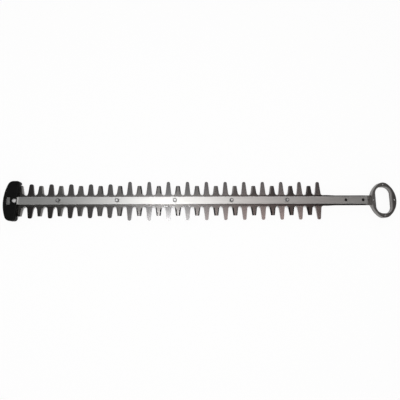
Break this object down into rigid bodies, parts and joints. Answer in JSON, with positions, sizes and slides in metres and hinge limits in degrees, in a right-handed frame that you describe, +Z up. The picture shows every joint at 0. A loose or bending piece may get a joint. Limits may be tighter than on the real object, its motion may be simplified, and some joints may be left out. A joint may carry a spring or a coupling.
{
  "type": "hedge trimmer blade",
  "caption": "Double-sided hedge trimmer cutter bar: a bevelled blade with a drive yoke slides between a bolted guide bar and a fixed guard comb, with a plastic cap on the tip.",
  "frame": {"origin": "midway between the two mounting holes, on the guide bar's upper face", "axes": "+X along the blade from the tip guard to the drive yoke, +Z up out of the guide bar"},
  "size_m": [0.6967, 0.069, 0.0173],
  "materials": {
    "bar_steel": "bright plated, fine brushed",
    "comb_steel": "ground sheet steel",
    "cutter_steel": "hardened, ground bevels",
    "yoke_steel": "dark stamped",
    "rivet_steel": "bright",
    "fastener_steel": "zinc plated",
    "insert_nylon": "dark nylon",
    "bush_steel": "turned",
    "screw_steel": "bright",
    "cap_plastic": "fine moulded grain"
  },
  "bodies": {
    "sword": {"guide_bar": "bar_steel", "guard_comb": "comb_steel", "clamp_bolts": "fastener_steel", "lock_nuts": "fastener_steel", "nut_inserts": "insert_nylon", "guide_bush_1": "bush_steel", "guide_bush_2": "bush_steel", "guide_bush_3": "bush_steel", "guide_bush_4": "bush_steel", "guide_bush_5": "bush_steel", "tip_bush": "bush_steel", "mount_sleeve_front": "bush_steel", "mount_sleeve_rear": "bush_steel", "tip_guard": "cap_plastic", "tip_screw": "screw_steel", "tip_nut": "fastener_steel"},
    "cutter": {"cutter_blade": "cutter_steel", "yoke_upper_plate": "yoke_steel", "yoke_lower_plate": "yoke_steel", "yoke_rivets": "rivet_steel"}
  },
  "joints": [
    {"name": "cutter_slide", "type": "slide", "parent": "sword", "child": "cutter", "axis": [1, 0, 0], "range_m": [-0.008, 0.008]}
  ]
}
